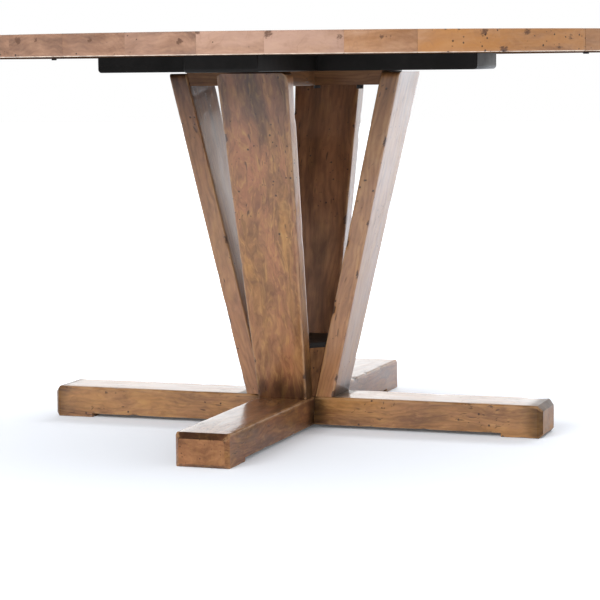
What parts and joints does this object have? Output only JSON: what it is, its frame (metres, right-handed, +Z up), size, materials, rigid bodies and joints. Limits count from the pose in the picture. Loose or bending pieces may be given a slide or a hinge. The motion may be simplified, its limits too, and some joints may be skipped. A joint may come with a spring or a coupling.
{
  "type": "dining table",
  "caption": "Round plank-top dining table on a pedestal of outward-leaning board legs, with a half-lapped foot cross and black bars under the top.",
  "frame": {"origin": "on the floor under the middle of the foot cross", "axes": "+X along the right arm of the foot cross, +Y towards the back, +Z up"},
  "size_m": [1.524, 1.524, 0.76],
  "materials": {
    "top_wood": "distressed boards, worn satin lacquer",
    "base_wood": "brown stain under semi-gloss lacquer",
    "black_paint": "satin black paint",
    "joint_wood": "bare hardwood",
    "black_steel": "black oxide",
    "zinc_steel": "zinc plated"
  },
  "bodies": {
    "root": {"top_plank_01": "top_wood", "top_plank_02": "top_wood", "top_plank_03": "top_wood", "top_plank_04": "top_wood", "top_plank_05": "top_wood", "top_plank_06": "top_wood", "top_plank_07": "top_wood", "top_plank_08": "top_wood", "top_plank_09": "top_wood", "top_plank_10": "top_wood", "top_plank_11": "top_wood", "top_plank_12": "top_wood", "top_plank_13": "top_wood", "top_plank_14": "top_wood", "leg_right": "base_wood", "leg_back": "base_wood", "leg_left": "base_wood", "leg_front": "base_wood", "top_rail_side": "base_wood", "top_rail_front": "base_wood", "core_block": "base_wood", "foot_beam_side": "base_wood", "foot_beam_front": "base_wood", "cross_bar_side": "black_paint", "cross_bar_front": "black_paint", "core_cap": "black_paint", "core_dowels": "joint_wood", "rail_tenons": "joint_wood", "plank_splines": "joint_wood", "rail_bolts": "black_steel", "leg_bolts": "black_steel", "core_bolt": "black_steel", "bar_screws": "black_steel", "stiffener_bolts": "black_steel", "stiffener_strip": "black_steel", "leg_bolt_washers": "zinc_steel", "core_bolt_washer": "zinc_steel", "bar_inserts": "zinc_steel", "leg_inserts": "zinc_steel", "core_insert": "zinc_steel"}
  },
  "joints": []
}
